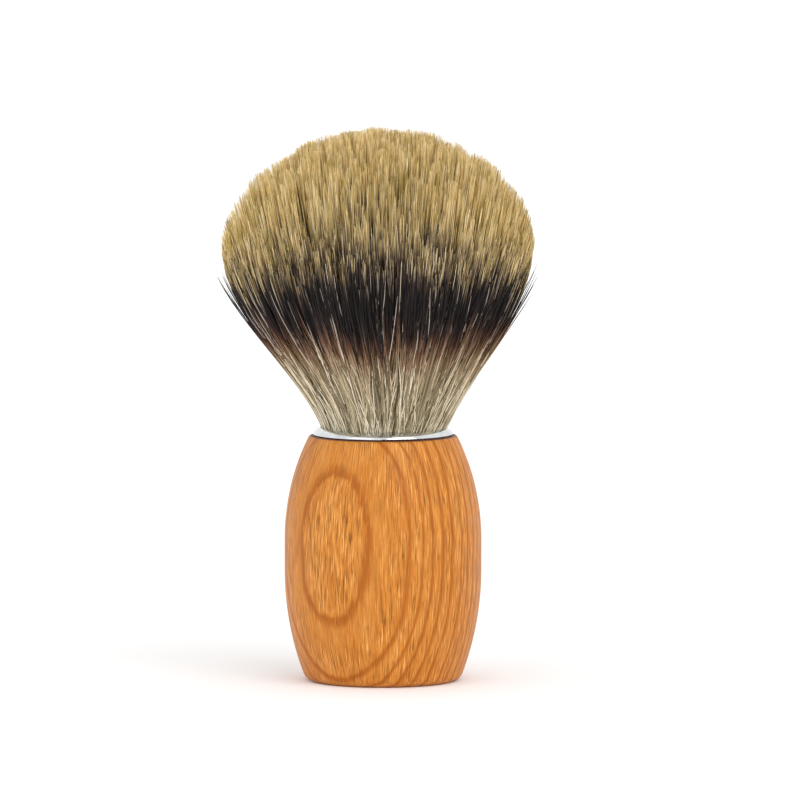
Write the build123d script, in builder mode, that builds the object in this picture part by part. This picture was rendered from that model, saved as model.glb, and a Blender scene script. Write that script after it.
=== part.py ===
from build123d import *
import math
import os

# Shaving brush, in millimetres.
# The origin is the centre of the underside and +Z is the turning axis, towards the hair.
# The hair flexes at the mouth of the ring, so its free length is one rounded body that
# tilts about the axis at flex_level, and the short rooted length under it stays with the handle.

# Handle: a barrel with a lower and an upper arc that meet a short straight belly
HANDLE_HEIGHT = 44.3
BELLY_RADIUS = 17.75
BELLY_LOW = 20.0
BELLY_HIGH = 25.5
LOWER_ARC_RADIUS = 53.6
UPPER_ARC_RADIUS = 41.7
FOOT_ROUNDING = 2.0
SHOULDER_ROUNDING = 0.8
RECESS_RADIUS = 9.5
RECESS_DEPTH = 0.8

# Socket and what is glued into it
SOCKET_RADIUS = 11.6
SOCKET_DEPTH = 17.0
ADHESIVE_THICKNESS = 0.6
PLUG_HEIGHT = 11.4
ROOT_RADIUS = 9.4
ROOT_EMBEDDED = 9.4
ROOT_MOUTH_RADIUS = 10.85
ROOT_RISE = 2.0

# Binding cord: parallel turns of twine round the root
CORD_RADIUS = 0.4
CORD_TURNS = 5
CORD_PITCH = 0.9
CORD_FIRST_TURN = 1.4
CORD_BITE = 0.25

# Collar ring: a domed flange on the wood, with a skirt down into the socket
RING_RADIUS = 12.65
RING_HEIGHT = 1.45
RING_EDGE_ROUNDING = 0.3
RING_LIP_RADIUS = 11.45
RING_BORE_RADIUS = 11.0
RING_SKIRT = 6.0
RING_DOME_RADIUS = 2.2

# Hair tuft: a ball in the ring's mouth, a straight flare, a rounded side, then a dome of
# two tangent arcs, the tight brow and the broad crown
BRUSH_HEIGHT = 100.0
FLEX_CLEARANCE = 0.3
FLEX_RANGE = 20.0
FLEX_SPARE = 2.5
NECK_REACH = 15.4
FLARE_LENGTH = 18.3
FLARE_ANGLE = 33.7
SIDE_ARC_RADIUS = 23.0
BROW_ARC_RADIUS = 12.0

# Levels and radii that follow from the sizes above
socket_floor = HANDLE_HEIGHT - SOCKET_DEPTH
plug_bottom = socket_floor + ADHESIVE_THICKNESS
plug_top = plug_bottom + PLUG_HEIGHT
plug_radius = SOCKET_RADIUS - ADHESIVE_THICKNESS
skirt_bottom = HANDLE_HEIGHT - RING_SKIRT
root_bottom = plug_top - ROOT_EMBEDDED
root_top = plug_top + ROOT_RISE
flex_level = HANDLE_HEIGHT + RING_HEIGHT
ball_radius = RING_BORE_RADIUS - FLEX_CLEARANCE
neck_elevation = FLEX_RANGE + FLEX_SPARE
binding_radius = ROOT_RADIUS + CORD_RADIUS - CORD_BITE
binding_levels = [root_bottom + CORD_FIRST_TURN + turn * CORD_PITCH for turn in range(CORD_TURNS)]


def polar(centre_level, reach, elevation):
    """A profile point at a distance and an angle above the horizontal from an axis point."""
    angle = math.radians(elevation)
    return (reach * math.cos(angle), centre_level + reach * math.sin(angle))


# Handle: turned barrel, rounded at both ends, bored for the knot and relieved underneath
with BuildPart() as handle:
    with BuildSketch(Plane.XZ):
        with BuildLine():
            lower_sweep = math.degrees(math.asin(BELLY_LOW / LOWER_ARC_RADIUS))
            upper_sweep = math.degrees(math.asin((HANDLE_HEIGHT - BELLY_HIGH) / UPPER_ARC_RADIUS))
            lower_arc = CenterArc(
                (BELLY_RADIUS - LOWER_ARC_RADIUS, BELLY_LOW), LOWER_ARC_RADIUS, -lower_sweep, lower_sweep
            )
            upper_arc = CenterArc(
                (BELLY_RADIUS - UPPER_ARC_RADIUS, BELLY_HIGH), UPPER_ARC_RADIUS, 0, upper_sweep
            )
            Line(lower_arc @ 1, upper_arc @ 0)
            Polyline(upper_arc @ 1, (0, HANDLE_HEIGHT), (0, 0), lower_arc @ 0)
        make_face()
    revolve(axis=Axis.Z)
    foot_edge = handle.edges().filter_by(GeomType.CIRCLE).sort_by(Axis.Z)[0]
    fillet(foot_edge, FOOT_ROUNDING)
    shoulder_edge = handle.edges().filter_by(GeomType.CIRCLE).sort_by(Axis.Z)[-1]
    fillet(shoulder_edge, SHOULDER_ROUNDING)
    with BuildSketch(Plane.XY.offset(socket_floor)):
        Circle(SOCKET_RADIUS)
    extrude(amount=SOCKET_DEPTH, mode=Mode.SUBTRACT)
    with BuildSketch(Plane.XY):
        Circle(RECESS_RADIUS)
    extrude(amount=RECESS_DEPTH, mode=Mode.SUBTRACT)

# Collar ring: one thin pressing, domed where it shows, with a rolled outer edge and a
# plain skirt where it is glued
with BuildPart() as collar_ring:
    with BuildSketch(Plane.XZ):
        with BuildLine():
            seat_edge = (RING_RADIUS - RING_EDGE_ROUNDING, HANDLE_HEIGHT)
            rim = (RING_RADIUS, HANDLE_HEIGHT + RING_EDGE_ROUNDING)
            RadiusArc(seat_edge, rim, -RING_EDGE_ROUNDING)
            RadiusArc(rim, (RING_LIP_RADIUS, flex_level), -RING_DOME_RADIUS)
            Polyline(
                (RING_LIP_RADIUS, flex_level),
                (RING_BORE_RADIUS, flex_level),
                (RING_BORE_RADIUS, skirt_bottom),
                (SOCKET_RADIUS, skirt_bottom),
                (SOCKET_RADIUS, HANDLE_HEIGHT),
                seat_edge,
            )
        make_face()
    revolve(axis=Axis.Z)

# Socket adhesive: the cured cup between the plug and the wood, up to the ring's skirt
with BuildPart() as socket_adhesive:
    with BuildSketch(Plane.XY.offset(socket_floor)):
        Circle(SOCKET_RADIUS)
    extrude(amount=skirt_bottom - socket_floor)
    with BuildSketch(Plane.XY.offset(plug_bottom)):
        Circle(plug_radius)
    extrude(amount=skirt_bottom - plug_bottom, mode=Mode.SUBTRACT)

# Binding cord: each turn is a closed ring of twine that bites a little into the root
with BuildPart() as binding_cord:
    for level in binding_levels:
        with BuildSketch(Plane.XZ):
            with Locations((binding_radius, level)):
                Circle(CORD_RADIUS)
        revolve(axis=Axis.Z)

# Knot plug: resin cast round the root and its binding
with BuildPart() as knot_plug:
    with BuildSketch(Plane.XY.offset(plug_bottom)):
        Circle(plug_radius)
    extrude(amount=PLUG_HEIGHT)
    with BuildSketch(Plane.XY.offset(root_bottom)):
        Circle(ROOT_RADIUS)
    extrude(amount=ROOT_EMBEDDED, mode=Mode.SUBTRACT)
    add(binding_cord.part, mode=Mode.SUBTRACT)

# Hair root: the glued length, widening out of the plug and hollowed where the tuft flexes
with BuildPart() as hair_root:
    with BuildSketch(Plane.XZ):
        with BuildLine():
            Polyline(
                (0, root_bottom),
                (ROOT_RADIUS, root_bottom),
                (ROOT_RADIUS, plug_top),
                (ROOT_MOUTH_RADIUS, root_top),
                (0, root_top),
                close=True,
            )
        make_face()
    revolve(axis=Axis.Z)
    with Locations((0, 0, flex_level)):
        Sphere(RING_BORE_RADIUS, mode=Mode.SUBTRACT)
    add(binding_cord.part, mode=Mode.SUBTRACT)

# Hair tuft: the free length, slim at the neck so that it tilts clear of the ring
with BuildPart() as hair_tuft:
    with BuildSketch(Plane.XZ):
        with BuildLine():
            neck_start = polar(flex_level, ball_radius, neck_elevation)
            neck_end = polar(flex_level, NECK_REACH, neck_elevation)
            flare_end = (
                neck_end[0] + FLARE_LENGTH * math.sin(math.radians(FLARE_ANGLE)),
                neck_end[1] + FLARE_LENGTH * math.cos(math.radians(FLARE_ANGLE)),
            )
            CenterArc((0, flex_level), ball_radius, -90, 90 + neck_elevation)
            Line(neck_start, neck_end)
            flare = Line(neck_end, flare_end)
            side = JernArc(flare @ 1, flare % 1, SIDE_ARC_RADIUS, FLARE_ANGLE)
            widest = side @ 1
            dome_height = BRUSH_HEIGHT - widest.Y
            brow_centre = widest.X - BROW_ARC_RADIUS
            crown_radius = (brow_centre**2 + dome_height**2 - BROW_ARC_RADIUS**2) / (
                2 * (dome_height - BROW_ARC_RADIUS)
            )
            brow_sweep = math.degrees(math.atan2(crown_radius - dome_height, brow_centre))
            brow = JernArc(widest, (0, 1), BROW_ARC_RADIUS, brow_sweep)
            crown = RadiusArc(brow @ 1, (0, BRUSH_HEIGHT), -crown_radius)
            Line(crown @ 1, (0, flex_level - ball_radius))
        make_face()
    revolve(axis=Axis.Z)

handle.part.label = "handle"
collar_ring.part.label = "collar_ring"
socket_adhesive.part.label = "socket_adhesive"
binding_cord.part.label = "binding_cord"
knot_plug.part.label = "knot_plug"
hair_root.part.label = "hair_root"
hair_tuft.part.label = "hair_tuft"

os.makedirs("parts", exist_ok=True)
export_step(handle.part, "parts/handle.step")
export_step(collar_ring.part, "parts/collar_ring.step")
export_step(socket_adhesive.part, "parts/socket_adhesive.step")
export_step(binding_cord.part, "parts/binding_cord.step")
export_step(knot_plug.part, "parts/knot_plug.step")
export_step(hair_root.part, "parts/hair_root.step")
export_step(hair_tuft.part, "parts/hair_tuft.step")
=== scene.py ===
import math

import bpy
import numpy as np
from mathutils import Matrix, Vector


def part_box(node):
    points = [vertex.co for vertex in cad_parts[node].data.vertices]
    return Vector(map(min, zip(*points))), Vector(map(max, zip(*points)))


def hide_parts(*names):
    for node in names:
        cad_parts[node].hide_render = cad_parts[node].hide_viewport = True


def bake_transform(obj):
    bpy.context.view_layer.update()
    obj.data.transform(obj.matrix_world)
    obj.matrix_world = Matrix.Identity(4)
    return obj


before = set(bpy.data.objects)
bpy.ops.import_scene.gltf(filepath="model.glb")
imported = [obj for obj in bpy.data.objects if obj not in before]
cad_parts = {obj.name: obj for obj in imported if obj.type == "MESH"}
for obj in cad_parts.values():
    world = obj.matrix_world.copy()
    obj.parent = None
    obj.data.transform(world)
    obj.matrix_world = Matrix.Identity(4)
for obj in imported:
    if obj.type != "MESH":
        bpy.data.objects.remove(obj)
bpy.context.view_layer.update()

# A shaving brush: an oiled ash handle, a chromed ring and a knot of three-band hair.
# The frame and Blender are in metres. Lengths below are in millimetres, and MM turns
# them to metres where a mesh, light or camera is made.
MM = 0.001

_, handle_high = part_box("handle")
_, ring_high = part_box("collar_ring")
_, tuft_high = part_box("hair_tuft")

# Levels and radii of the handle and the knot, from the frame
HANDLE_TOP = handle_high.z / MM
BELLY_RADIUS = handle_high.x / MM
MOUTH_LEVEL = ring_high.z / MM
KNOT_TOP = tuft_high.z / MM
KNOT_RADIUS = tuft_high.x / MM
WIDEST_SHARE = 0.624
WIDEST_LEVEL = MOUTH_LEVEL + WIDEST_SHARE * (KNOT_TOP - MOUTH_LEVEL)

# A colour mix's sockets go by number: its factor, its two colours and its result
MIX_FACTOR = 0
MIX_UNDER = 6
MIX_OVER = 7
MIX_RESULT = 2

# A noise gathers about a half, and seldom passes these two
NOISE_LOW = 0.3
NOISE_HIGH = 0.7


def srgb(hex_colour):
    """The linear RGBA of an sRGB hex colour, such as "D68F46", by the standard's own curve."""
    channels = []
    for start in (0, 2, 4):
        value = int(hex_colour[start:start + 2], 16) / 255
        channels.append(value / 12.92 if value <= 0.04045 else ((value + 0.055) / 1.055) ** 2.4)
    return (*channels, 1.0)


def add_node(tree, kind, settings=None, links=None):
    """Adds one node. Settings go to its properties or, by name or number, to its inputs.
    Links join other nodes' outputs to its inputs."""
    node = tree.nodes.new(kind)
    for name, value in (settings or {}).items():
        if isinstance(name, str) and hasattr(node, name):
            setattr(node, name, value)
        else:
            node.inputs[name].default_value = value
    for name, source in (links or {}).items():
        tree.links.new(source, node.inputs[name])
    return node


def set_stops(node, stops):
    """Gives a colour ramp its stops, each a position from 0 to 1 and a colour."""
    ramp = node.color_ramp
    while len(ramp.elements) > 1:
        ramp.elements.remove(ramp.elements[-1])
    ramp.elements[0].position = stops[0][0]
    ramp.elements[0].color = stops[0][1]
    for position, colour in stops[1:]:
        ramp.elements.new(position).color = colour


def new_material(name):
    """An empty node material and its shader, already joined to the output."""
    material = bpy.data.materials.new(name)
    material.use_nodes = True
    tree = material.node_tree
    tree.nodes.clear()
    shader = add_node(tree, "ShaderNodeBsdfPrincipled")
    add_node(tree, "ShaderNodeOutputMaterial", links={"Surface": shader.outputs["BSDF"]})
    return material, tree, shader


# ---------------------------------------------------------------- materials

# Ash: one flat-sawn growth line rises as an oval on the front left of the barrel, and the
# older lines run down its right side. BARK_AZIMUTH points from the axis to the oval, and
# the growth lines are at these depths towards the bark.
BARK_AZIMUTH = math.radians(-32)
BARK_TILT = 0.04
BELLY_LEVEL = 24.0
PITH_REACH = 60.0
GROWTH_LINES = (16.7, 13.6, 11.9, 10.5, 8.8, 6.9, 4.5, 2.6, 0.4, -1.8, -4.1, -6.4, -8.8, -11.2, -13.6)
DEEPEST = -15.2
GROWTH_SPAN = 20.0

# The trunk leaned away by LEAN between these two levels, which draws the oval upwards
LEAN_FROM = 30.0
LEAN_TO = 44.0
LEAN = 1.0

# How far each line's outer edge fades, how far the lines stray, and how late in the year
# the wood turns dark. The oval's own year is wide, but its dark part is thin.
SOFT_EDGE = 0.7
OVAL_EDGE = 0.4
OVAL_LATE = 0.45
WANDER = 1.4
WAVER = 0.55
LATE_FADE = 0.5

# The share of open pores at the start of a year, in the oval's late wood and in other late wood
EARLY_PORES = 1.0
OVAL_PORES = 0.3
LATE_PORES = 0.2

# Pores full of oil look dark and scraped ones pale: the noise's start and end, and the colour
PORE_KINDS = {
    "dark": (0.43, 0.33, "7E4A10"),
    "pale": (0.58, 0.70, "ECAA5C"),
}

# The barrel's side: two arcs that meet a short straight belly, as the handle is turned
BELLY_LOW = 20.0
BELLY_HIGH = 25.5
LOWER_ARC_RADIUS = 53.6
UPPER_ARC_RADIUS = 41.7
BARREL_LEVELS = 20

# Each noise in the wood: its size across and along the grain in mm, its detail and its roughness
ASH_NOISES = {
    "wander": (22.0, 50.0, 2.0, 0.45),
    "waver": (0.9, 8.0, 3.0, 0.6),
    "pores": (0.18, 3.2, 1.0, 0.5),
    "fibres": (0.4, 6.0, 4.0, 0.7),
    "clouds": (4.0, 14.0, 3.0, 0.6),
}
# The width of the painted shade line on the wood under the ring, in mm
SEAM_SHADE_WIDTH = 0.15


def growth_place(depth):
    """Where a depth towards the bark lies on the growth ramp, which runs inwards."""
    return (GROWTH_SPAN - depth) / (2 * GROWTH_SPAN)


def growth_stops():
    """Stops that hold how late in its year the wood at any depth grew (red), and how many open
    pores it has (green). Both change quickly at a growth line and slowly across a year."""
    year_start = (0.0, EARLY_PORES, 0.0, 1.0)
    stops = []
    for line in GROWTH_LINES:
        edge = OVAL_EDGE if line == GROWTH_LINES[0] else SOFT_EDGE
        stops.append((growth_place(line + edge), year_start))
        stops.append((growth_place(line), (1.0, LATE_PORES, 0.0, 1.0)))
    oval_end = (growth_place(GROWTH_LINES[0] - OVAL_LATE), (LATE_FADE, OVAL_PORES, 0.0, 1.0))
    stops.insert(2, oval_end)
    stops.append((growth_place(DEEPEST), year_start))
    return stops


def barrel_stops():
    """Stops that hold the barrel's radius from foot to ring, as a part of its belly's."""
    stops = []
    for level in np.linspace(0, HANDLE_TOP, BARREL_LEVELS):
        below = max(BELLY_LOW - level, 0)
        above = max(level - BELLY_HIGH, 0)
        lower_drop = LOWER_ARC_RADIUS - math.sqrt(LOWER_ARC_RADIUS**2 - below**2)
        upper_drop = UPPER_ARC_RADIUS - math.sqrt(UPPER_ARC_RADIUS**2 - above**2)
        part = (BELLY_RADIUS - lower_drop - upper_drop) / BELLY_RADIUS
        stops.append((level / HANDLE_TOP, (part, part, part, 1.0)))
    return stops


def ash_grain(tree):
    """A point's place in the wood in mm, its level, and the noises that make the grain."""
    place = add_node(tree, "ShaderNodeTexCoord")
    mm = add_node(
        tree, "ShaderNodeVectorMath",
        {"operation": "SCALE", "Scale": 1 / MM}, {0: place.outputs["Object"]},
    )
    height = add_node(tree, "ShaderNodeSeparateXYZ", links={"Vector": mm.outputs[0]})
    # the fine grain is drawn along the barrel's swell, so its dashes stay long at both ends
    height_share = add_node(
        tree, "ShaderNodeMapRange", {"From Max": HANDLE_TOP}, {"Value": height.outputs["Z"]}
    )
    narrowing = add_node(tree, "ShaderNodeValToRGB", links={"Fac": height_share.outputs["Result"]})
    set_stops(narrowing, barrel_stops())
    narrowed = add_node(
        tree, "ShaderNodeCombineXYZ", {"Z": 1.0},
        {"X": narrowing.outputs["Color"], "Y": narrowing.outputs["Color"]},
    )
    along_swell = add_node(
        tree, "ShaderNodeVectorMath", {"operation": "DIVIDE"},
        {0: mm.outputs[0], 1: narrowed.outputs[0]},
    )
    noise = {}
    for name, (across_grain, along_grain, detail, roughness) in ASH_NOISES.items():
        source = along_swell if name in ("pores", "fibres") else mm
        cells = add_node(
            tree, "ShaderNodeVectorMath",
            {"operation": "MULTIPLY", 1: (1 / across_grain, 1 / across_grain, 1 / along_grain)},
            {0: source.outputs[0]},
        )
        noise[name] = add_node(
            tree, "ShaderNodeTexNoise",
            {"Scale": 1.0, "Detail": detail, "Roughness": roughness}, {"Vector": cells.outputs[0]},
        ).outputs["Fac"]
    return mm.outputs[0], height.outputs["Z"], noise


def ash_years(tree, mm, level, noise):
    """How dark the late wood is and how many open pores there are. The growth lines are long
    cylinders about a pith PITH_REACH behind the axis, which wander and waver a little."""
    towards_bark = (math.sin(BARK_AZIMUTH), -math.cos(BARK_AZIMUTH), BARK_TILT)
    across_bark = (math.cos(BARK_AZIMUTH), math.sin(BARK_AZIMUTH), 0.0)
    depth = add_node(
        tree, "ShaderNodeVectorMath", {"operation": "DOT_PRODUCT", 1: towards_bark}, {0: mm}
    )
    across = add_node(
        tree, "ShaderNodeVectorMath", {"operation": "DOT_PRODUCT", 1: across_bark}, {0: mm}
    )
    lean = add_node(
        tree, "ShaderNodeMapRange",
        {"interpolation_type": "SMOOTHSTEP", "From Min": LEAN_FROM, "From Max": LEAN_TO, "To Max": LEAN},
        {"Value": level},
    )
    leaned = add_node(
        tree, "ShaderNodeMath", {"operation": "ADD"},
        {0: depth.outputs["Value"], 1: lean.outputs["Result"]},
    )
    across_squared = add_node(
        tree, "ShaderNodeMath", {"operation": "MULTIPLY"},
        {0: across.outputs["Value"], 1: across.outputs["Value"]},
    )
    curved = add_node(
        tree, "ShaderNodeMath", {"operation": "MULTIPLY_ADD", 1: 1 / (2 * PITH_REACH)},
        {0: across_squared.outputs[0], 2: leaned.outputs[0]},
    )
    wandered = add_node(
        tree, "ShaderNodeMath", {"operation": "MULTIPLY_ADD", 1: WANDER},
        {0: noise["wander"], 2: curved.outputs[0]},
    )
    wavered = add_node(
        tree, "ShaderNodeMath", {"operation": "MULTIPLY_ADD", 1: WAVER},
        {0: noise["waver"], 2: wandered.outputs[0]},
    )
    # both noises average a half, and the tilt is measured from the belly
    growth = add_node(
        tree, "ShaderNodeMath",
        {"operation": "SUBTRACT", 1: (WANDER + WAVER) / 2 + BARK_TILT * BELLY_LEVEL},
        {0: wavered.outputs[0]},
    )
    span_share = add_node(
        tree, "ShaderNodeMapRange",
        {"From Min": GROWTH_SPAN, "From Max": -GROWTH_SPAN}, {"Value": growth.outputs[0]},
    )
    year = add_node(tree, "ShaderNodeValToRGB", links={"Fac": span_share.outputs["Result"]})
    set_stops(year, growth_stops())
    year_sides = add_node(tree, "ShaderNodeSeparateColor", links={"Color": year.outputs["Color"]})
    late_wood = add_node(
        tree, "ShaderNodeMapRange",
        {"interpolation_type": "SMOOTHSTEP", "From Min": LATE_FADE, "From Max": 1.0},
        {"Value": year_sides.outputs["Red"]},
    )
    return late_wood.outputs["Result"], year_sides.outputs["Green"]


def oiled_ash():
    """Turned ash under an oil varnish: honey orange, a soft darker line of late wood at each
    year, open pores as fine dashes beside it, and a soft satin sheen."""
    material, tree, shader = new_material("oiled_ash")
    mm, level, noise = ash_grain(tree)
    late_wood, porous = ash_years(tree, mm, level, noise)
    plain = add_node(tree, "ShaderNodeValToRGB", links={"Fac": noise["clouds"]})
    set_stops(plain, [(NOISE_LOW, srgb("BD7120")), (0.5, srgb("C57B2B")), (NOISE_HIGH, srgb("CC8538"))])
    shaded = add_node(
        tree, "ShaderNodeMix", {"data_type": "RGBA", MIX_OVER: srgb("A65904")},
        {MIX_FACTOR: late_wood, MIX_UNDER: plain.outputs["Color"]},
    )
    fibre_value = add_node(
        tree, "ShaderNodeMapRange",
        {"From Min": NOISE_LOW, "From Max": NOISE_HIGH, "To Min": 0.78, "To Max": 1.18},
        {"Value": noise["fibres"]},
    )
    fibred = add_node(
        tree, "ShaderNodeHueSaturation", {"Fac": 1.0},
        {"Color": shaded.outputs[MIX_RESULT], "Value": fibre_value.outputs["Result"]},
    )
    colour = fibred.outputs["Color"]
    pores = {}
    for kind, (pore_start, pore_end, pore_colour) in PORE_KINDS.items():
        spots = add_node(
            tree, "ShaderNodeMapRange",
            {"From Min": pore_start, "From Max": pore_end}, {"Value": noise["pores"]},
        )
        pores[kind] = add_node(
            tree, "ShaderNodeMath", {"operation": "MULTIPLY"}, {0: spots.outputs["Result"], 1: porous}
        ).outputs[0]
        colour = add_node(
            tree, "ShaderNodeMix", {"data_type": "RGBA", MIX_OVER: srgb(pore_colour)},
            {MIX_FACTOR: pores[kind], MIX_UNDER: colour},
        ).outputs[MIX_RESULT]

    # painted shade: a thin dark line where the wood meets the ring, the shadow of the gap under the ring's
    # edge
    seam_shade_mask = add_node(
        tree, "ShaderNodeMapRange",
        {"From Min": HANDLE_TOP - SEAM_SHADE_WIDTH, "From Max": HANDLE_TOP - SEAM_SHADE_WIDTH / 2},
        {"Value": level},
    )
    with_seam_shade = add_node(
        tree, "ShaderNodeMix", {"data_type": "RGBA", MIX_OVER: srgb("5A362A")},
        {MIX_FACTOR: seam_shade_mask.outputs["Result"], MIX_UNDER: colour},
    )
    tree.links.new(with_seam_shade.outputs[MIX_RESULT], shader.inputs["Base Color"])
    sheen = add_node(
        tree, "ShaderNodeMapRange",
        {"From Min": NOISE_LOW, "From Max": NOISE_HIGH, "To Min": 0.38, "To Max": 0.54},
        {"Value": noise["fibres"]},
    )
    tree.links.new(sheen.outputs["Result"], shader.inputs["Roughness"])
    groove_height = add_node(
        tree, "ShaderNodeMath", {"operation": "MULTIPLY_ADD", 1: -1.0},
        {0: pores["dark"], 2: noise["fibres"]},
    )
    bump = add_node(
        tree, "ShaderNodeBump",
        {"Strength": 0.35, "Distance": 0.05 * MM}, {"Height": groove_height.outputs[0]},
    )
    tree.links.new(bump.outputs["Normal"], shader.inputs["Normal"])
    shader.inputs["IOR"].default_value = 1.5
    shader.inputs["Specular IOR Level"].default_value = 0.25
    return material


# Chrome: clouds of film to a mm, and turning lines to a mm up the ring and round it. Real
# lines are finer, and these are as coarse as they need to be to show.
FILM_CLOUDS = 0.35
TURNING_LINES = 6.5
TURNING_DRIFT = 0.05


def bright_chrome():
    """Chrome plate on a spun brass pressing: a bright cool mirror with faint turning lines
    and a slightly duller film where fingers and water reach it."""
    material, tree, shader = new_material("bright_chrome")
    place = add_node(tree, "ShaderNodeTexCoord")
    # turning lines run round the ring, so their pattern is fine in height only
    turning_place = add_node(
        tree, "ShaderNodeVectorMath",
        {"operation": "MULTIPLY", 1: (TURNING_DRIFT / MM, TURNING_DRIFT / MM, TURNING_LINES / MM)},
        {0: place.outputs["Object"]},
    )
    turning = add_node(
        tree, "ShaderNodeTexNoise",
        {"Scale": 1.0, "Detail": 2.0}, {"Vector": turning_place.outputs[0]},
    )
    film = add_node(
        tree, "ShaderNodeTexNoise",
        {"Scale": FILM_CLOUDS / MM, "Detail": 3.0}, {"Vector": place.outputs["Object"]},
    )
    tint = add_node(tree, "ShaderNodeValToRGB", links={"Fac": film.outputs["Fac"]})
    set_stops(tint, [(0.35, srgb("D3D7D9")), (0.65, srgb("E8EBEC"))])
    tree.links.new(tint.outputs["Color"], shader.inputs["Base Color"])
    roughness = add_node(
        tree, "ShaderNodeMapRange",
        {"From Min": NOISE_LOW, "From Max": NOISE_HIGH, "To Min": 0.07, "To Max": 0.17},
        {"Value": film.outputs["Fac"]},
    )
    tree.links.new(roughness.outputs["Result"], shader.inputs["Roughness"])
    bump = add_node(
        tree, "ShaderNodeBump",
        {"Strength": 0.25, "Distance": 0.01 * MM}, {"Height": turning.outputs["Fac"]},
    )
    tree.links.new(bump.outputs["Normal"], shader.inputs["Normal"])
    shader.inputs["Metallic"].default_value = 1.0
    return material


def cured_resin(name, deep, pale, grain):
    """A poured resin: glossy, with cloudy colour where it cured unevenly, in clouds of grain mm."""
    material, tree, shader = new_material(name)
    place = add_node(tree, "ShaderNodeTexCoord")
    cloud = add_node(
        tree, "ShaderNodeTexNoise",
        {"Scale": 1 / (grain * MM), "Detail": 4.0, "Roughness": 0.6}, {"Vector": place.outputs["Object"]},
    )
    colour = add_node(tree, "ShaderNodeValToRGB", links={"Fac": cloud.outputs["Fac"]})
    set_stops(colour, [(NOISE_LOW, srgb(deep)), (NOISE_HIGH, srgb(pale))])
    tree.links.new(colour.outputs["Color"], shader.inputs["Base Color"])
    roughness = add_node(
        tree, "ShaderNodeMapRange",
        {"From Min": NOISE_LOW, "From Max": NOISE_HIGH, "To Min": 0.14, "To Max": 0.34},
        {"Value": cloud.outputs["Fac"]},
    )
    tree.links.new(roughness.outputs["Result"], shader.inputs["Roughness"])
    bump = add_node(
        tree, "ShaderNodeBump",
        {"Strength": 0.3, "Distance": 0.05 * MM}, {"Height": cloud.outputs["Fac"]},
    )
    tree.links.new(bump.outputs["Normal"], shader.inputs["Normal"])
    shader.inputs["IOR"].default_value = 1.55
    return material


# Twine: the spacing of its ply lines, in mm. A diagonal wave repeats 20 / (2 pi) times a unit.
PLY_SPACING = 0.6283
WAVES_PER_UNIT = 20 / (2 * math.pi)


def waxed_twine():
    """Waxed cotton twine: off-white, with the slanting ply lines of a two-ply lay."""
    material, tree, shader = new_material("waxed_twine")
    place = add_node(tree, "ShaderNodeTexCoord")
    scale = 1 / (PLY_SPACING * MM * WAVES_PER_UNIT)
    lay = add_node(
        tree, "ShaderNodeTexWave",
        {"bands_direction": "DIAGONAL", "Scale": scale, "Distortion": 2.0, "Detail": 2.0},
        {"Vector": place.outputs["Object"]},
    )
    colour = add_node(tree, "ShaderNodeValToRGB", links={"Fac": lay.outputs["Fac"]})
    set_stops(colour, [(0.1, srgb("B9AC8C")), (0.8, srgb("E9E0C8"))])
    tree.links.new(colour.outputs["Color"], shader.inputs["Base Color"])
    bump = add_node(
        tree, "ShaderNodeBump",
        {"Strength": 0.5, "Distance": 0.06 * MM}, {"Height": lay.outputs["Fac"]},
    )
    tree.links.new(bump.outputs["Normal"], shader.inputs["Normal"])
    shader.inputs["Roughness"].default_value = 0.7
    return material


# Hair colour by distance from the ring's mouth, in mm along the hair
HAIR_SPAN = 64.0
BANDED_STOPS = (
    (0.0, "E4D4B2"), (6.0, "EADAB6"), (12.0, "E8D2AE"), (15.5, "C8A886"), (18.5, "8C644E"),
    (21.0, "442F29"), (24.0, "221B1A"), (32.0, "201A19"), (35.0, "4A3A35"), (38.0, "A38C6C"),
    (41.5, "E8CC94"), (46.0, "FCDE9A"), (52.0, "FEDE94"), (57.0, "FEE1A0"),
)
PALE_STOPS = (
    (0.0, "F6EBD0"), (14.0, "F4E4C8"), (20.0, "C0AE9E"), (32.0, "B4A292"), (40.0, "F0DCB0"), (57.0, "FCEEC0"),
)
# Tones up to PALE_SHARE run from the darkest banded hair to the brightest. Higher ones are pale
# hairs. Below the tips the darkest hairs go down to DARKEST, as painted shade for the gaps between
# the tips, and between two places along the hair, in mm, this painted shade fades to DARKEST_TIP.
PALE_SHARE = 0.93
BRIGHTEST = 1.05
DARKEST = 0.05
DARKEST_TIP = 0.27
GAP_SHADE_FADES_FROM = 45.0
GAP_SHADE_GONE_AT = 54.0
# The darker a hair, the warmer its colour
WARM_SATURATION = 1.35
COOL_SATURATION = 0.88


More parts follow.
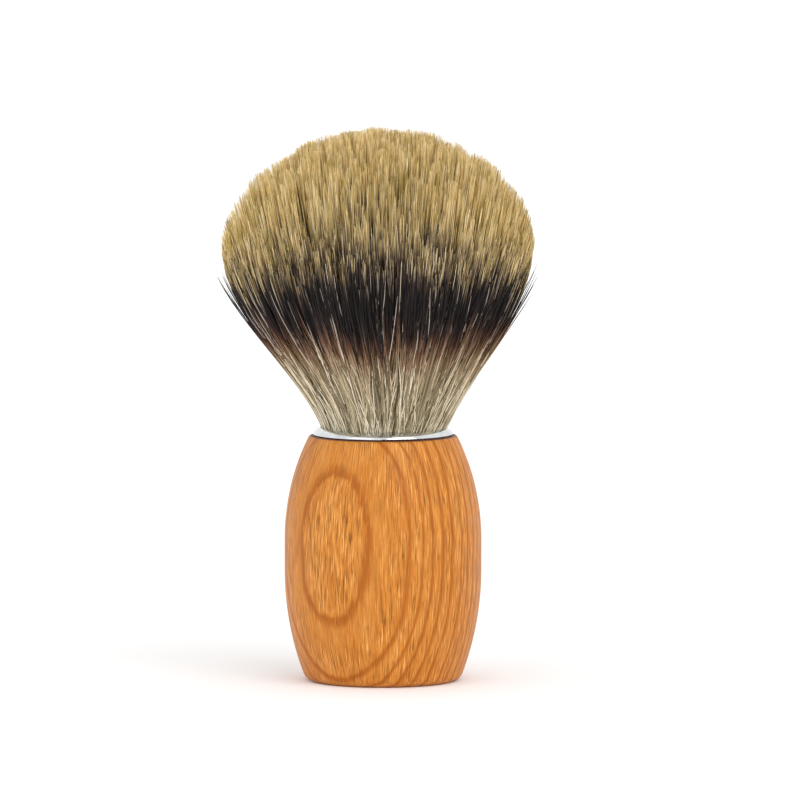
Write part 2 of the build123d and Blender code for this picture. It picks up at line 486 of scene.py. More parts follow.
def banded_hair():
    """Badger-type hair: grey-beige roots, a near-black band with brown edges and cream tips.
    The OFBake map gives each hair its tone across and its distance from the ring along."""
    material, tree, shader = new_material("banded_hair")
    lie = add_node(tree, "ShaderNodeUVMap", {"uv_map": "OFBake"})
    split = add_node(tree, "ShaderNodeSeparateXYZ", links={"Vector": lie.outputs["UV"]})
    banded = add_node(tree, "ShaderNodeValToRGB", links={"Fac": split.outputs["Y"]})
    set_stops(banded, [(place / HAIR_SPAN, srgb(colour)) for place, colour in BANDED_STOPS])
    pale = add_node(tree, "ShaderNodeValToRGB", links={"Fac": split.outputs["Y"]})
    set_stops(pale, [(place / HAIR_SPAN, srgb(colour)) for place, colour in PALE_STOPS])
    is_pale = add_node(
        tree, "ShaderNodeMath", {"operation": "GREATER_THAN", 1: PALE_SHARE}, {0: split.outputs["X"]}
    )
    chosen = add_node(
        tree, "ShaderNodeMix", {"data_type": "RGBA"},
        {
            MIX_FACTOR: is_pale.outputs[0], MIX_UNDER: banded.outputs["Color"],
            MIX_OVER: pale.outputs["Color"],
        },
    )
    # below the tips the darkest hairs are darker still, as painted shade for the gaps between the tips
    darkest = add_node(
        tree, "ShaderNodeMapRange",
        {
            "From Min": GAP_SHADE_FADES_FROM / HAIR_SPAN, "From Max": GAP_SHADE_GONE_AT / HAIR_SPAN,
            "To Min": DARKEST, "To Max": DARKEST_TIP,
        },
        {"Value": split.outputs["Y"]},
    )
    depth_of_tone = add_node(
        tree, "ShaderNodeMapRange",
        {"From Min": 0.0, "From Max": PALE_SHARE, "To Max": BRIGHTEST},
        {"Value": split.outputs["X"], "To Min": darkest.outputs["Result"]},
    )
    warmth = add_node(
        tree, "ShaderNodeMapRange",
        {"From Max": PALE_SHARE, "To Min": WARM_SATURATION, "To Max": COOL_SATURATION},
        {"Value": split.outputs["X"]},
    )
    toned = add_node(
        tree, "ShaderNodeHueSaturation", {"Fac": 1.0},
        {
            "Color": chosen.outputs[MIX_RESULT], "Value": depth_of_tone.outputs["Result"],
            "Saturation": warmth.outputs["Result"],
        },
    )
    tree.links.new(toned.outputs["Color"], shader.inputs["Base Color"])
    shader.inputs["Roughness"].default_value = 0.45
    shader.inputs["Specular IOR Level"].default_value = 0.25
    shader.inputs["IOR"].default_value = 1.55
    return material


# The inside of the knot: the width and length of one streak and how far a streak moves the bands, in mm
STREAK_WIDTH = 0.2
STREAK_LENGTH = 6.0
STREAK_SHIFT = 6.0


def packed_hair():
    """The close-packed inside of the knot, seen only through gaps: the same bands in shade,
    broken into fine upright streaks."""
    material, tree, shader = new_material("packed_hair")
    place = add_node(tree, "ShaderNodeTexCoord")
    across, along = 1 / (STREAK_WIDTH * MM), 1 / (STREAK_LENGTH * MM)
    streak_place = add_node(
        tree, "ShaderNodeVectorMath",
        {"operation": "MULTIPLY", 1: (across, across, along)}, {0: place.outputs["Object"]},
    )
    streaks = add_node(
        tree, "ShaderNodeTexNoise",
        {"Scale": 1.0, "Detail": 3.0, "Roughness": 0.6}, {"Vector": streak_place.outputs[0]},
    )
    split = add_node(tree, "ShaderNodeSeparateXYZ", links={"Vector": place.outputs["Object"]})
    streak_shift = add_node(
        tree, "ShaderNodeMath",
        {"operation": "MULTIPLY_ADD", 1: STREAK_SHIFT * MM, 2: -STREAK_SHIFT / 2 * MM},
        {0: streaks.outputs["Fac"]},
    )
    level = add_node(
        tree, "ShaderNodeMath", {"operation": "ADD"}, {0: split.outputs["Z"], 1: streak_shift.outputs[0]}
    )
    share = add_node(
        tree, "ShaderNodeMapRange",
        {"From Min": MOUTH_LEVEL * MM, "From Max": (MOUTH_LEVEL + HAIR_SPAN) * MM},
        {"Value": level.outputs[0]},
    )
    banded = add_node(tree, "ShaderNodeValToRGB", links={"Fac": share.outputs["Result"]})
    set_stops(banded, [(at / HAIR_SPAN, srgb(colour)) for at, colour in BANDED_STOPS])
    shade = add_node(
        tree, "ShaderNodeMapRange",
        {"From Min": NOISE_LOW, "From Max": NOISE_HIGH, "To Min": 0.1, "To Max": 0.5},
        {"Value": streaks.outputs["Fac"]},
    )
    shaded = add_node(
        tree, "ShaderNodeHueSaturation", {"Fac": 1.0},
        {"Color": banded.outputs["Color"], "Value": shade.outputs["Result"]},
    )
    tree.links.new(shaded.outputs["Color"], shader.inputs["Base Color"])
    bump = add_node(
        tree, "ShaderNodeBump",
        {"Strength": 0.8, "Distance": STREAK_WIDTH * MM}, {"Height": streaks.outputs["Fac"]},
    )
    tree.links.new(bump.outputs["Normal"], shader.inputs["Normal"])
    shader.inputs["Roughness"].default_value = 0.65
    shader.inputs["IOR"].default_value = 1.55
    return material


# Paper: the size of its mottling, in mm
MOTTLE = 333.3


def matt_paper():
    """A plain sheet of white studio paper, very slightly mottled."""
    material, tree, shader = new_material("matt_paper")
    place = add_node(tree, "ShaderNodeTexCoord")
    mottle = add_node(
        tree, "ShaderNodeTexNoise",
        {"Scale": 1 / (MOTTLE * MM), "Detail": 2.0}, {"Vector": place.outputs["Object"]},
    )
    colour = add_node(tree, "ShaderNodeValToRGB", links={"Fac": mottle.outputs["Fac"]})
    set_stops(colour, [(NOISE_LOW, srgb("F7F7F7")), (NOISE_HIGH, srgb("FBFBFB"))])
    tree.links.new(colour.outputs["Color"], shader.inputs["Base Color"])
    shader.inputs["Roughness"].default_value = 0.9
    return material


# ---------------------------------------------------------------- the knot's shape

# Roots stand this far below the ring's mouth, within this radius. Hairs lean out by these
# angles at the root and the tip, and a handle is the part of the reach that keeps each lean.
ROOT_DEPTH = 2.2
ROOT_LEVEL = MOUTH_LEVEL - ROOT_DEPTH
ROOT_RADIUS = 10.3
ROOT_LEAN = math.radians(10)
ROOT_HANDLE = 0.20
TIP_LEAN = math.radians(12)
TIP_HANDLE = 0.33

# The outside of the knot, and the slight sway of its neck and its tips to one side
MOUTH_RADIUS = 11.2
FLANK_POWER = 1.3
DOME_POWER = 0.59
FAN_LEVEL = 55.0
LOWEST_TIP = 75.5
NECK_SWAY = 1.0
TIP_SWAY = -1.05
SWAY_POWER = 1.5
DOME_POINTS = 240
SIDE_POINTS = 40


def flank_radius(level):
    """Outside radius of the knot between the ring's mouth and the widest level."""
    rise = np.clip((level - MOUTH_LEVEL) / (WIDEST_LEVEL - MOUTH_LEVEL), 0, 1)
    return MOUTH_RADIUS + (KNOT_RADIUS - MOUTH_RADIUS) * np.sin(rise * math.pi / 2) ** FLANK_POWER


def dome_level(radius):
    """Level of the tips above the widest level, at a distance from the axis."""
    share = np.clip(radius / KNOT_RADIUS, 0, 1)
    return WIDEST_LEVEL + (KNOT_TOP - WIDEST_LEVEL) * (1 - share**2) ** DOME_POWER


def tip_outline():
    """Fan angle, radius and level of the tips, from the crown to the lowest outer tips."""
    dome_radius = KNOT_RADIUS * np.sin(np.linspace(0, math.pi / 2, DOME_POINTS))
    side_level = np.linspace(WIDEST_LEVEL, LOWEST_TIP, SIDE_POINTS)[1:]
    radius = np.concatenate([dome_radius, flank_radius(side_level)])
    level = np.concatenate([dome_level(dome_radius), side_level])
    return np.arctan2(radius, level - FAN_LEVEL), radius, level


OUTLINE_ANGLE, OUTLINE_RADIUS, OUTLINE_LEVEL = tip_outline()
FAN_LIMIT = OUTLINE_ANGLE[-1]


def on_outline(share):
    """Radius and level of the tips for a share of the fan, from 0 at the crown to 1 at the rim."""
    radius = np.interp(FAN_LIMIT * share, OUTLINE_ANGLE, OUTLINE_RADIUS)
    level = np.interp(FAN_LIMIT * share, OUTLINE_ANGLE, OUTLINE_LEVEL)
    return radius, level


def round_axis(radius, azimuth, level):
    """Points at a radius, azimuth and level, as rows of x, y, z."""
    return np.stack([radius * np.cos(azimuth), radius * np.sin(azimuth), level + 0 * radius], axis=-1)


# ---------------------------------------------------------------- hairs

# Locks: how many, how strongly tips gather in them, how far the tips between them drop over
# how wide a reach, and how much their places, heights, tones and band shifts vary
GOLDEN_ANGLE = math.pi * (3 - math.sqrt(5))
CLUMP_COUNT = 270
CLUMP_PULL = 0.12
CLUMP_DROP = 0.42
CLUMP_REACH = 2.2
CLUMP_RISE = 0.32
CLUMP_TURN = 0.06
CLUMP_STRAY = 0.02
CLUMP_TONE = 0.035
CLUMP_SHIFT = 0.03
TIPS_AT_ONCE = 2000


def make_clumps(rng):
    """Centres of the small locks that the tips gather in, with each lock's rise and tone."""
    index = np.arange(CLUMP_COUNT)
    share = np.sqrt((index + 0.5) / CLUMP_COUNT)
    azimuth = index * GOLDEN_ANGLE + rng.normal(0, CLUMP_TURN, CLUMP_COUNT)
    stray = rng.normal(0, CLUMP_STRAY, CLUMP_COUNT)
    radius, level = on_outline(np.clip(share + stray, 0, 1))
    return {
        "centre": round_axis(radius, azimuth, level),
        "rise": rng.normal(0, CLUMP_RISE, CLUMP_COUNT),
        "tone": rng.normal(0, CLUMP_TONE, CLUMP_COUNT),
        "shift": rng.normal(0, CLUMP_SHIFT, CLUMP_COUNT),
    }


def nearest_clump(tips, centres):
    """Index of and distance to the nearest lock for each tip, worked out a batch at a time."""
    chosen = np.zeros(len(tips), int)
    distance = np.zeros(len(tips))
    for start in range(0, len(tips), TIPS_AT_ONCE):
        part = tips[start:start + TIPS_AT_ONCE]
        gaps = np.linalg.norm(part[:, None, :] - centres[None, :, :], axis=2)
        chosen[start:start + TIPS_AT_ONCE] = gaps.argmin(axis=1)
        distance[start:start + TIPS_AT_ONCE] = gaps.min(axis=1)
    return chosen, distance


# Wisps: how much their skew round the knot, tone and band shift vary, and how many slow and
# quick waves each one makes on its way up
WISP_SKEW = 0.11
WISP_TONE = 0.23
WISP_SHIFT = 0.075
SLOW_WAVES = (0.5, 1.3)
QUICK_WAVES = (1.8, 3.8)


def make_wisps(rng, count, wave):
    """Small groups of hairs that bend together: their skew, waves, tone and band shift."""
    return {
        "skew": rng.normal(0, WISP_SKEW, count),
        "way": rng.uniform(0, 2 * math.pi, count),
        "slow": rng.uniform(*SLOW_WAVES, count),
        "quick": rng.uniform(*QUICK_WAVES, count),
        "phase": rng.uniform(0, 2 * math.pi, (2, count)),
        "wave": rng.uniform(*wave, count),
        "tone": rng.normal(0, WISP_TONE, count),
        "shift": rng.normal(0, WISP_SHIFT, count),
    }


# How far a hair strays from its wisp: its root, the way it waves, the wave's phase and size
ROOT_STRAY = 0.03
WAY_STRAY = 0.5
PHASE_STRAY = 0.4
WAVE_SIZES = (0.6, 1.4)
# Waves run more round the knot than in and out, the quick one is the smaller, and both grow
# from nothing inside the ring
IN_AND_OUT = 0.4
QUICK_SIZE = 0.6
HELD_UP_TO = 0.03
FREE_AFTER = 0.15
DRIFT_POWER = 3
# A hair is thinner at its root, and tapers over the last part of its length
ROOT_THICKNESS = 0.7
TAPER_LENGTH = 0.12
TAPER_POWER = 0.7
TIP_THICKNESS = 0.35
# A bent hair is a little longer than the straight line from its root to its tip
BENT_LENGTH = 1.03


def wave_offsets(rng, wisps, group, along, outward, sideways):
    """How far the slow and quick waves push each point of each hair aside."""
    count = len(group)
    way = wisps["way"][group] + rng.normal(0, WAY_STRAY, count)
    wave_way = IN_AND_OUT * np.cos(way)[:, None] * outward + np.sin(way)[:, None] * sideways
    phase = wisps["phase"][:, group][:, :, None] + rng.normal(0, PHASE_STRAY, (2, count, 1))
    size = wisps["wave"][group] * rng.uniform(*WAVE_SIZES, count)
    wave = np.sin(2 * math.pi * wisps["slow"][group][:, None] * along + phase[0])
    wave += QUICK_SIZE * np.sin(2 * math.pi * wisps["quick"][group][:, None] * along + phase[1])
    free = np.clip(along - HELD_UP_TO, 0, 1)
    return (wave * size[:, None] * free / (free + FREE_AFTER))[:, :, None] * wave_way[:, None, :]


def comb(rng, clumps, wisps, group, share, azimuth, start, cut, steps, hair_radius, drift):
    """Paths of hairs from inside the ring's mouth to their tips.

    share and azimuth place each tip on the dome. start is the part of the way up where the
    drawn hair begins, cut is how far its tip stops short, and drift is how far it springs
    away from the knot, in mm."""
    count = len(share)
    tip_radius, tip_level = on_outline(np.clip(share, 0, 1))
    tips = round_axis(tip_radius, azimuth, tip_level)
    lock, gap = nearest_clump(tips, clumps["centre"])
    tips += CLUMP_PULL * (clumps["centre"][lock] - tips)
    tips[:, 0] += TIP_SWAY * share**SWAY_POWER
    root_azimuth = azimuth - wisps["skew"][group] - rng.normal(0, ROOT_STRAY, count)
    roots = round_axis(ROOT_RADIUS * share, root_azimuth, ROOT_LEVEL)
    reach = np.linalg.norm(tips - roots, axis=1)
    upward = np.array([0.0, 0.0, 1.0])
    root_out = round_axis(np.ones(count), root_azimuth, 0.0)
    tip_out = round_axis(np.ones(count), azimuth, 0.0)
    sideways = round_axis(np.ones(count), azimuth + math.pi / 2, 0.0)

    def heading(lean, outward):
        angle = (lean * share)[:, None]
        return np.sin(angle) * outward + np.cos(angle) * upward

    first_handle = roots + (ROOT_HANDLE * reach)[:, None] * heading(ROOT_LEAN, root_out)
    first_handle[:, 0] += NECK_SWAY * share
    last_handle = tips - (TIP_HANDLE * reach)[:, None] * heading(TIP_LEAN, tip_out)
    short = cut + CLUMP_DROP * (gap / CLUMP_REACH) ** 2 - clumps["rise"][lock]
    end = 1 - short / reach
    along = start[:, None] + np.linspace(0, 1, steps)[None, :] * (end - start)[:, None]
    t = along[:, :, None]
    path = (
        (1 - t) ** 3 * roots[:, None]
        + 3 * (1 - t) ** 2 * t * first_handle[:, None]
        + 3 * (1 - t) * t**2 * last_handle[:, None]
        + t**3 * tips[:, None]
    )
    path += wave_offsets(rng, wisps, group, along, tip_out, sideways)
    path += (drift * np.clip(along, 0, 1) ** DRIFT_POWER)[:, :, None] * tip_out[:, None, :]
    step_length = np.linalg.norm(np.diff(path, axis=1), axis=2)
    length = np.concatenate([np.zeros((count, 1)), np.cumsum(step_length, axis=1)], axis=1)
    length += (start * reach)[:, None] * BENT_LENGTH - (MOUTH_LEVEL - ROOT_LEVEL)
    place = np.linspace(0, 1, steps)[None, :]
    full = np.clip(ROOT_THICKNESS + along, 0, 1)
    taper = np.clip((1 - place) / TAPER_LENGTH, 0, 1) ** TAPER_POWER
    thickness = hair_radius[:, None] * full * (TIP_THICKNESS + (1 - TIP_THICKNESS) * taper)
    return {
        "path": path, "thickness": thickness, "length": length, "lock": lock, "group": group,
        "sideways": np.cos(azimuth),
    }


# The corners of a hair step across its map by TONE_STEP, so that no face is flat there. Above
# BAND_MIDDLE the colours lie up to BAND_ARCH mm nearer the ring on the left and right flanks.
CORNERS = 3
TONE_STEP = 0.004
BAND_MIDDLE = 24.0
BAND_BLUR = 8.0
BAND_ARCH = 8.8
MAP_MARGIN = 0.002
POINT_LENGTH = 3
SIDE_HINT = (0.0, 0.35, 0.1)


def hair_faces(steps):
    """Faces of one hair: quads up its sides, triangles at its tip and one across its root.
    Also gives where each face corner lies on the hair: its side, and its step up the hair."""
    quads, quad_map = [], []
    for step in range(steps - 1):
        low, high = step * CORNERS, (step + 1) * CORNERS
        for corner in range(CORNERS):
            after = (corner + 1) % CORNERS
            quads += [low + corner, low + after, high + after, high + corner]
            quad_map += [(corner, step), (corner + 1, step), (corner + 1, step + 1), (corner, step + 1)]
    tris, tri_map = [], []
    last = (steps - 1) * CORNERS
    for corner in range(CORNERS):
        tris += [last + corner, last + (corner + 1) % CORNERS, steps * CORNERS]
        tri_map += [(corner, steps - 1), (corner + 1, steps - 1), (corner + 0.5, steps - 1)]
    tris += [2, 1, 0]
    tri_map += [(2, 0), (1, 0), (0, 0)]
    sizes = np.array([4] * (len(quads) // 4) + [3] * (len(tris) // 3))
    return np.array(quads + tris), sizes, np.array(quad_map + tri_map)


def strand_mesh(name, hairs, tone, shift):
    """One mesh of closed three-sided hairs, pointed at the tip, with its OFBake map."""
    path = hairs["path"]
    count, steps, _ = path.shape
    tangent = np.gradient(path, axis=1)
    tangent /= np.linalg.norm(tangent, axis=2, keepdims=True)
    side = np.cross(tangent, np.array(SIDE_HINT) + tangent[:, :, [1, 2, 0]])
    side /= np.linalg.norm(side, axis=2, keepdims=True)
    other = np.cross(tangent, side)
    rings = []
    for corner in range(CORNERS):
        turn = corner * 2 * math.pi / CORNERS
        offset = math.cos(turn) * side + math.sin(turn) * other
        rings.append(path + offset * hairs["thickness"][:, :, None])
    ring_points = np.stack(rings, axis=2).reshape(count, steps * CORNERS, 3)
    tip_points = path[:, -1:] + tangent[:, -1:] * hairs["thickness"][:, -1:, None] * POINT_LENGTH
    points = np.concatenate([ring_points, tip_points], axis=1)

    loops_one, sizes_one, corners_one = hair_faces(steps)
    starts_one = np.concatenate([[0], np.cumsum(sizes_one)[:-1]])
    hair = np.arange(count)[:, None]
    loops = (loops_one[None, :] + hair * points.shape[1]).ravel()
    starts = (starts_one[None, :] + hair * len(loops_one)).ravel()
    mesh = bpy.data.meshes.new(name)
    mesh.vertices.add(points.shape[0] * points.shape[1])
    mesh.vertices.foreach_set("co", (points * MM).astype(np.float32).ravel())
    mesh.loops.add(len(loops))
    mesh.loops.foreach_set("vertex_index", loops.astype(np.int32))
    mesh.polygons.add(len(starts))
    mesh.polygons.foreach_set("loop_start", starts.astype(np.int32))
    mesh.polygons.foreach_set("use_smooth", np.ones(len(starts), bool))
    along = hairs["length"] * (1 + shift[:, None])
    above_band = np.clip((along - BAND_MIDDLE) / BAND_BLUR, 0, 1)
    along += BAND_ARCH * above_band * (hairs["sideways"] ** 2)[:, None]
    v = along[:, corners_one[:, 1].astype(int)] / HAIR_SPAN
    u = tone[:, None] + corners_one[None, :, 0] * TONE_STEP
    pairs = np.stack([np.clip(u, 0, 1), np.clip(v, MAP_MARGIN, 1 - MAP_MARGIN)], axis=-1)
    uv = mesh.uv_layers.new(name="OFBake")
    uv.data.foreach_set("uv", pairs.astype(np.float32).ravel())
    mesh.update()
    mesh.validate()
    return mesh


def add_hairs(name, hairs, tone, shift, material):
    """Makes one piece of the knot from combed hairs."""
    piece = bpy.data.objects.new(name, strand_mesh(name, hairs, tone, shift))
    bpy.context.scene.collection.objects.link(piece)
    piece.data.materials.append(material)
    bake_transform(piece)
    return piece


# The knot is grown in sectors. Tones and band shifts gather about these middles, banded hairs
# keep a margin of tone steps below the pale ones, and pale hairs have a small range of tones.
SEED = 11
SECTORS = 8
HAIR_RADIUS = 0.082
MEAN_TONE = 0.57
PALE_START = 0.01
PALE_RANGE = 0.04
TONE_MARGIN = 3.5
MEAN_SHIFT = -0.02
HAIR_SHIFT = 0.055

# Each kind of hair: the least and greatest wave in mm, the part of the way up where it begins,
# its steps, its thickness as a part of HAIR_RADIUS, its share of pale hairs and its spread of tone
CROWN = {
    "wave": (0.04, 0.16), "begin": 0.55, "steps": 5, "thickness": (0.8, 1.2), "pale": 0.04, "spread": 0.13,
}
LONG = {
    "wave": (0.16, 0.46), "begin": 0.0, "steps": 17, "thickness": (0.85, 1.35), "pale": 0.05, "spread": 0.14,
}
CROSSING = {
    "wave": (0.2, 0.6), "begin": 0.0, "steps": 24, "thickness": (0.8, 1.2), "pale": 0.3, "spread": 0.2,
}
FLYAWAY = {
    "wave": (0.1, 0.4), "begin": 0.0, "steps": 16, "thickness": (1.0, 1.4), "pale": 0.0, "spread": 0.15,
}


def comb_kind(rng, clumps, kind, wisps, group, share, azimuth, cut, drift=0.0):
    """Combs hairs of one kind. Each gets a tone and a band shift near its wisp's and its lock's."""
    count = len(group)
    radius = HAIR_RADIUS * rng.uniform(*kind["thickness"], count)
    begin = np.full(count, kind["begin"])
    hairs = comb(rng, clumps, wisps, group, share, azimuth, begin, cut, kind["steps"], radius, drift)
    lock = hairs["lock"]
    tone = MEAN_TONE + wisps["tone"][group] + clumps["tone"][lock] + rng.normal(0, kind["spread"], count)
    tone = np.clip(tone, 0.0, PALE_SHARE - TONE_MARGIN * TONE_STEP)
    is_pale = rng.uniform(0, 1, count) < kind["pale"]
    tone = np.where(is_pale, PALE_SHARE + PALE_START + rng.uniform(0, PALE_RANGE, count), tone)
    shift = wisps["shift"][group] + clumps["shift"][lock] + rng.normal(MEAN_SHIFT, HAIR_SHIFT, count)
    return hairs, tone, shift


# Crown: wisps in each sector and hairs in each wisp, and the share of wisps that reach the dome.
# Other wisps stop short, by more towards the rim, where long hairs take over and wisps thin out.
CROWN_WISPS = 2700
CROWN_WISP_HAIRS = 2
CROWN_REACH = 0.97
CROWN_SHARES = (0.001, 0.98)
CROWN_STRAY = 0.005
EVEN_WISPS = 0.4
CUT_AT_TOP = 0.5
CUT_AT_RIM = 3.2
CROWN_HAIR_CUT = 0.18
THINNED_PART = 0.62
THIN_FROM = 0.4
THIN_OVER = 0.3


def crown_hairs(rng, clumps, first, width):
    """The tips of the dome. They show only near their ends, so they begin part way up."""
    wisps = make_wisps(rng, CROWN_WISPS, CROWN["wave"])
    wisp_share = CROWN_REACH * np.sqrt(rng.uniform(0, 1, CROWN_WISPS))
    wisp_azimuth = first + rng.uniform(0, width, CROWN_WISPS)
    wisp_cut = rng.exponential(CUT_AT_TOP + CUT_AT_RIM * wisp_share**2)
    wisp_cut[rng.uniform(0, 1, CROWN_WISPS) < EVEN_WISPS] = 0.0
    thinning = THINNED_PART * np.clip((wisp_share - THIN_FROM) / THIN_OVER, 0, 1)
    kept = rng.uniform(0, 1, CROWN_WISPS) < 1 - thinning
    group = np.repeat(np.flatnonzero(kept), CROWN_WISP_HAIRS)
    count = len(group)
    share = np.clip(wisp_share[group] + rng.normal(0, CROWN_STRAY, count), *CROWN_SHARES)
    azimuth = wisp_azimuth[group] + rng.normal(0, CROWN_STRAY, count) / share
    cut = wisp_cut[group] + rng.exponential(CROWN_HAIR_CUT, count)
    return comb_kind(rng, clumps, CROWN, wisps, group, share, azimuth, cut)


# Long hairs: wisps in each sector and hairs in each wisp, the share of the fan where they
# begin, and how far hairs stray from their wisp and stop short
LONG_WISPS = 450
LONG_WISP_HAIRS = 3
LONG_FROM = 0.80
LONG_STRAY = 0.010
LONG_TURN = 0.014
LONG_WISP_CUT = 2.0
LONG_HAIR_CUT = 0.6


def long_hairs(rng, clumps, first, width):
    """Long hairs in small wisps, which make the flank from the ring to the rim."""
    wisps = make_wisps(rng, LONG_WISPS, LONG["wave"])
    group = np.repeat(np.arange(LONG_WISPS), LONG_WISP_HAIRS)
    count = len(group)
    wisp_share = np.sqrt(rng.uniform(LONG_FROM**2, 1, LONG_WISPS))
    wisp_azimuth = first + rng.uniform(0, width, LONG_WISPS)
    share = np.clip(wisp_share[group] + rng.normal(0, LONG_STRAY, count), 0, 1.0)
    azimuth = wisp_azimuth[group] + rng.normal(0, LONG_TURN, count)
    cut = rng.exponential(LONG_WISP_CUT, LONG_WISPS)[group] + rng.exponential(LONG_HAIR_CUT, count)
    return comb_kind(rng, clumps, LONG, wisps, group, share, azimuth, cut)


CROSSING_COUNT = 900
CROSSING_SKEW = 0.26
CROSSING_WAVES = (2.0, 4.2)
CROSSING_SHARES = (1.0, 1.04)
CROSSING_CUTS = (0.5, 30)


def crossing_hairs(rng, clumps):
    """Loose wavy hairs that cross the flank, many of them pale."""
    count = CROSSING_COUNT
    wisps = make_wisps(rng, count, CROSSING["wave"])
    wisps["skew"] = rng.normal(0, CROSSING_SKEW, count)
    wisps["quick"] = rng.uniform(*CROSSING_WAVES, count)
    share = rng.uniform(*CROSSING_SHARES, count)
    azimuth = rng.uniform(0, 2 * math.pi, count)
    cut = rng.uniform(*CROSSING_CUTS, count)
    return comb_kind(rng, clumps, CROSSING, wisps, np.arange(count), share, azimuth, cut)


# Flyaways: their drift away from the knot in mm, which is mostly small, and their darker tone
FLYAWAY_COUNT = 480
FLYAWAY_SHARES = (0.98, 1.03)
FLYAWAY_CUTS = (0, 16)
LEAST_DRIFT = 0.3
USUAL_DRIFT = 0.8
GREATEST_DRIFT = 3.6
FLYAWAY_TONE = 0.5
FLYAWAY_SHIFT = -0.03


def flyaway_hairs(rng, clumps):
    """Dark flyaways that spring from the flank under the rim."""
    count = FLYAWAY_COUNT
    wisps = make_wisps(rng, count, FLYAWAY["wave"])
    share = rng.uniform(*FLYAWAY_SHARES, count)
    azimuth = rng.uniform(0, 2 * math.pi, count)
    cut = rng.uniform(*FLYAWAY_CUTS, count)
    drift = np.minimum(LEAST_DRIFT + rng.exponential(USUAL_DRIFT, count), GREATEST_DRIFT)[:, None]
    group = np.arange(count)
    hairs, tone, shift = comb_kind(rng, clumps, FLYAWAY, wisps, group, share, azimuth, cut, drift)
    return hairs, FLYAWAY_TONE * tone, shift + FLYAWAY_SHIFT


def grow_knot(material):
    """All the hairs, sector by sector round the knot, and then the loose ones."""
    rng = np.random.default_rng(SEED)
    clumps = make_clumps(rng)
    width = 2 * math.pi / SECTORS
    for sector in range(SECTORS):
        first = sector * width
        add_hairs(f"hair_crown_{sector + 1}", *crown_hairs(rng, clumps, first, width), material)
        add_hairs(f"hair_long_{sector + 1}", *long_hairs(rng, clumps, first, width), material)
    add_hairs("hair_crossing", *crossing_hairs(rng, clumps), material)
    add_hairs("hair_flyaway", *flyaway_hairs(rng, clumps), material)


def lathe(name, profile, sides):
    """A closed turned mesh from a profile of radius and level pairs that starts and ends on the axis."""
    rings = profile[1:-1]
    points = [(0.0, 0.0, profile[0][1] * MM)]
    for radius, level in rings:
        for side in range(sides):
            turn = 2 * math.pi * side / sides
            points.append((radius * math.cos(turn) * MM, radius * math.sin(turn) * MM, level * MM))
    points.append((0.0, 0.0, profile[-1][1] * MM))
    top = len(points) - 1
    faces = []
    for side in range(sides):
        after = (side + 1) % sides
        faces.append((0, 1 + after, 1 + side))
        for ring in range(len(rings) - 1):
            low, high = 1 + ring * sides, 1 + (ring + 1) * sides
            faces.append((low + side, low + after, high + after, high + side))
        last = 1 + (len(rings) - 1) * sides
        faces.append((last + side, last + after, top))
    mesh = bpy.data.meshes.new(name)
    mesh.from_pydata(points, [], faces)
    mesh.update()
    mesh.polygons.foreach_set("use_smooth", [True] * len(mesh.polygons))
    piece = bpy.data.objects.new(name, mesh)
    bpy.context.scene.collection.objects.link(piece)
    return piece


# The heart: its radius as a part of the knot's, how far it lies under the dome, where
# it starts inside the ring, and how finely it is turned
HEART_PART = 0.84
HEART_DEPTH = 5.0
HEART_FOOT = 1.5
HEART_FOOT_PART = 0.8
HEART_NECK = 1
HEART_RINGS = 14
HEART_DOME_RINGS = 12
HEART_SIDES = 96


def pack_knot(material):
    """The close-packed heart of the knot, under the loose outer hairs."""
    foot_level = MOUTH_LEVEL - HEART_FOOT
    profile = [(0.0, foot_level), (MOUTH_RADIUS * HEART_FOOT_PART, foot_level)]
    for level in np.linspace(MOUTH_LEVEL + HEART_NECK, WIDEST_LEVEL - HEART_DEPTH, HEART_RINGS):
        profile.append((HEART_PART * flank_radius(level), level))
    for turn in np.linspace(0, math.pi / 2, HEART_DOME_RINGS)[1:-1]:
        radius = KNOT_RADIUS * math.cos(turn)
        profile.append((HEART_PART * radius, dome_level(radius) - HEART_DEPTH))
    profile.append((0.0, KNOT_TOP - HEART_DEPTH))
    heart = lathe("packed_hair_heart", profile, HEART_SIDES)
    heart.data.materials.append(material)
    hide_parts("hair_tuft")
    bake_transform(heart)
    return heart


# ---------------------------------------------------------------- studio

# Studio sizes are in metres: the camera's distance from the brush, the width it takes in
# there and the reach of the floor. SENSOR_WIDTH alone is in mm, as lenses are.
VIEW_ELEVATION = math.radians(5.0)
VIEW_DISTANCE = 1.7
VIEW_WIDTH = 0.144
SENSOR_WIDTH = 36.0
FARTHEST = 100.0
FLOOR_REACH = 12.0

# The middle of the view is a little to the right of the brush, half way up it
AIM_RIGHT = 3.06
AIM_UP = 50.6
AIM = Vector((AIM_RIGHT * MM, 0.0, AIM_UP * MM))


def place_camera():
    """A long lens a little above the brush, as a catalogue picture has it."""
    camera = bpy.data.objects.new("camera", bpy.data.cameras.new("camera"))
    bpy.context.scene.collection.objects.link(camera)
    away = Vector((0.0, -math.cos(VIEW_ELEVATION), math.sin(VIEW_ELEVATION)))
    camera.location = AIM + VIEW_DISTANCE * away
    camera.rotation_mode = "QUATERNION"
    camera.rotation_quaternion = (-away).to_track_quat("-Z", "Y")
    camera.data.sensor_width = SENSOR_WIDTH
    camera.data.lens = SENSOR_WIDTH * VIEW_DISTANCE / VIEW_WIDTH
    camera.data.clip_end = FARTHEST
    bpy.context.scene.camera = camera


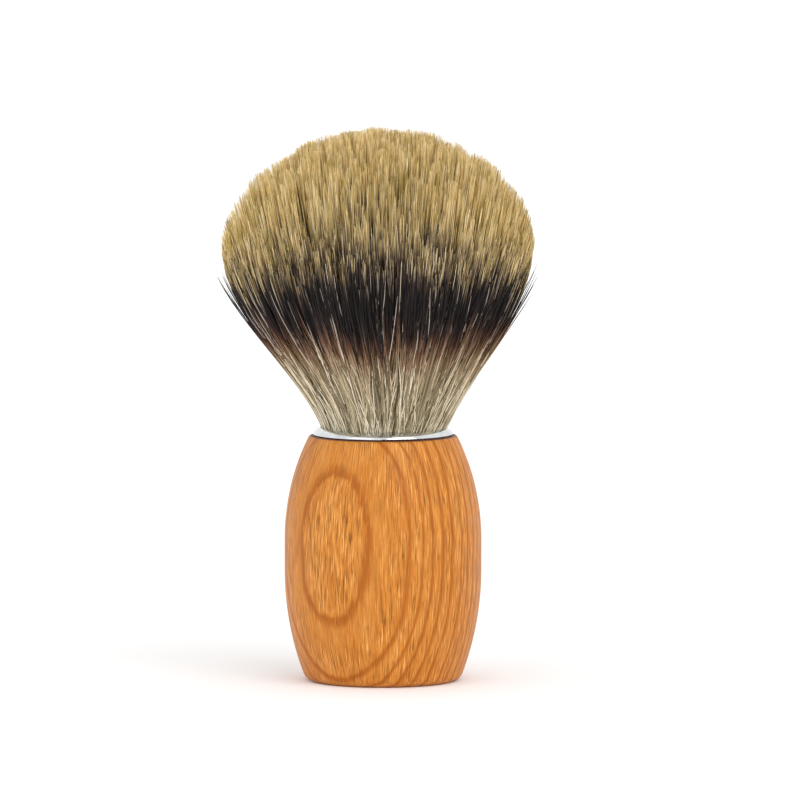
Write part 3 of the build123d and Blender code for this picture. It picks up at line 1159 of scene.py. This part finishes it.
def add_soft_sun(name, azimuth, elevation, power, spread):
    """A wide soft light that reaches the brush and the floor evenly; azimuth 0 is behind the camera."""
    data = bpy.data.lights.new(name, "SUN")
    data.energy = power
    data.angle = math.radians(spread)
    lamp = bpy.data.objects.new(name, data)
    bpy.context.scene.collection.objects.link(lamp)
    turn = math.radians(azimuth)
    rise = math.radians(elevation)
    towards = Vector((math.sin(turn) * math.cos(rise), -math.cos(turn) * math.cos(rise), math.sin(rise)))
    lamp.location = AIM + towards
    lamp.rotation_mode = "QUATERNION"
    lamp.rotation_quaternion = towards.to_track_quat("Z", "Y")


def build_studio():
    """White paper floor, an even white surround and two soft lights."""
    mesh = bpy.data.meshes.new("studio_floor")
    reach = FLOOR_REACH
    corners = [(-reach, -reach, 0), (reach, -reach, 0), (reach, reach, 0), (-reach, reach, 0)]
    mesh.from_pydata(corners, [], [(0, 1, 2, 3)])
    floor = bpy.data.objects.new("studio_floor", mesh)
    bpy.context.scene.collection.objects.link(floor)
    floor.data.materials.append(matt_paper())
    world = bpy.data.worlds.new("studio")
    world.use_nodes = True
    surround = world.node_tree.nodes["Background"]
    surround.inputs["Color"].default_value = srgb("FFFFFF")
    surround.inputs["Strength"].default_value = 1.0
    bpy.context.scene.world = world
    add_soft_sun("key_light", azimuth=36, elevation=36, power=0.95, spread=50)
    add_soft_sun("fill_light", azimuth=-40, elevation=25, power=0.4, spread=60)
    bpy.context.scene.view_settings.view_transform = "Standard"


# Clouds in the two resins are these sizes in mm
EPOXY_CLOUD = 3.0
PLUG_CLOUD = 4.0


def dress_frame(hair):
    """Gives each CAD node its finish."""
    finishes = {
        "handle": oiled_ash(),
        "collar_ring": bright_chrome(),
        "socket_adhesive": cured_resin("cured_epoxy", "B89C62", "D8C38E", EPOXY_CLOUD),
        "knot_plug": cured_resin("plug_resin", "4A2E17", "6B4726", PLUG_CLOUD),
        "binding_cord": waxed_twine(),
        "hair_root": hair,
        "hair_tuft": hair,
    }
    for node, material in finishes.items():
        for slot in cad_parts[node].material_slots:
            slot.material = material


packed = packed_hair()
dress_frame(packed)
build_studio()
place_camera()
pack_knot(packed)
grow_knot(banded_hair())
